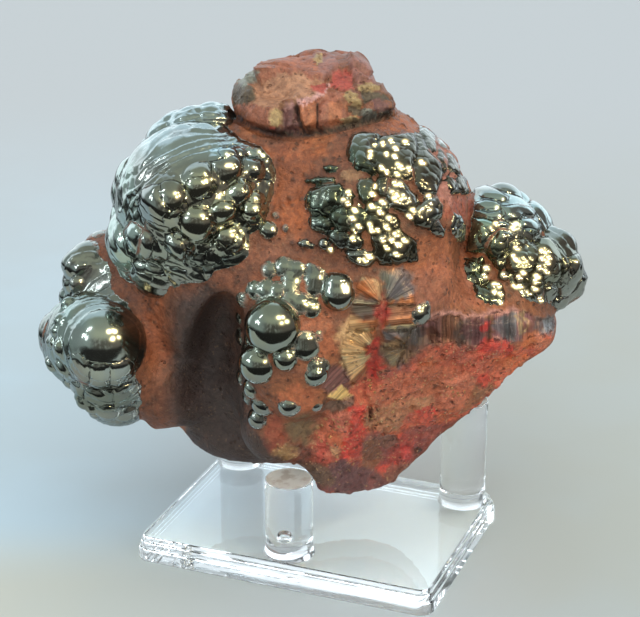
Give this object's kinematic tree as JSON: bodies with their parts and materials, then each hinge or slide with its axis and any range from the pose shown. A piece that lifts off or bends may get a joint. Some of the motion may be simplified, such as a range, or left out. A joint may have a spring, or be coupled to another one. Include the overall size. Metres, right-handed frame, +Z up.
{
  "type": "mineral specimen on stand",
  "caption": "Botryoidal hematite specimen with mirror-bright rounded knobs over a rust-red fibrous matrix, resting on clear acrylic pegs that rise from a clear acrylic base plate.",
  "frame": {"origin": "middle of the base plate's flat underside", "axes": "+Z up; +X along the base plate's long side, to the right seen from the side of the single peg; the single peg stands towards -Y; the stone is turned 21.5 degrees about Z on its pegs"},
  "size_m": [0.1326, 0.0903, 0.1329],
  "materials": {
    "hematite": "dark grey mirror-bright metallic knobs over matt rust-red, orange and brown fibrous and granular matrix",
    "acrylic": "clear cast acrylic, flame-polished edges, sawn and lightly frosted peg tops"
  },
  "bodies": {
    "root": {"hematite_specimen": "hematite", "stand_base": "acrylic", "front_peg": "acrylic", "rear_left_peg": "acrylic", "rear_right_peg": "acrylic"}
  },
  "joints": []
}
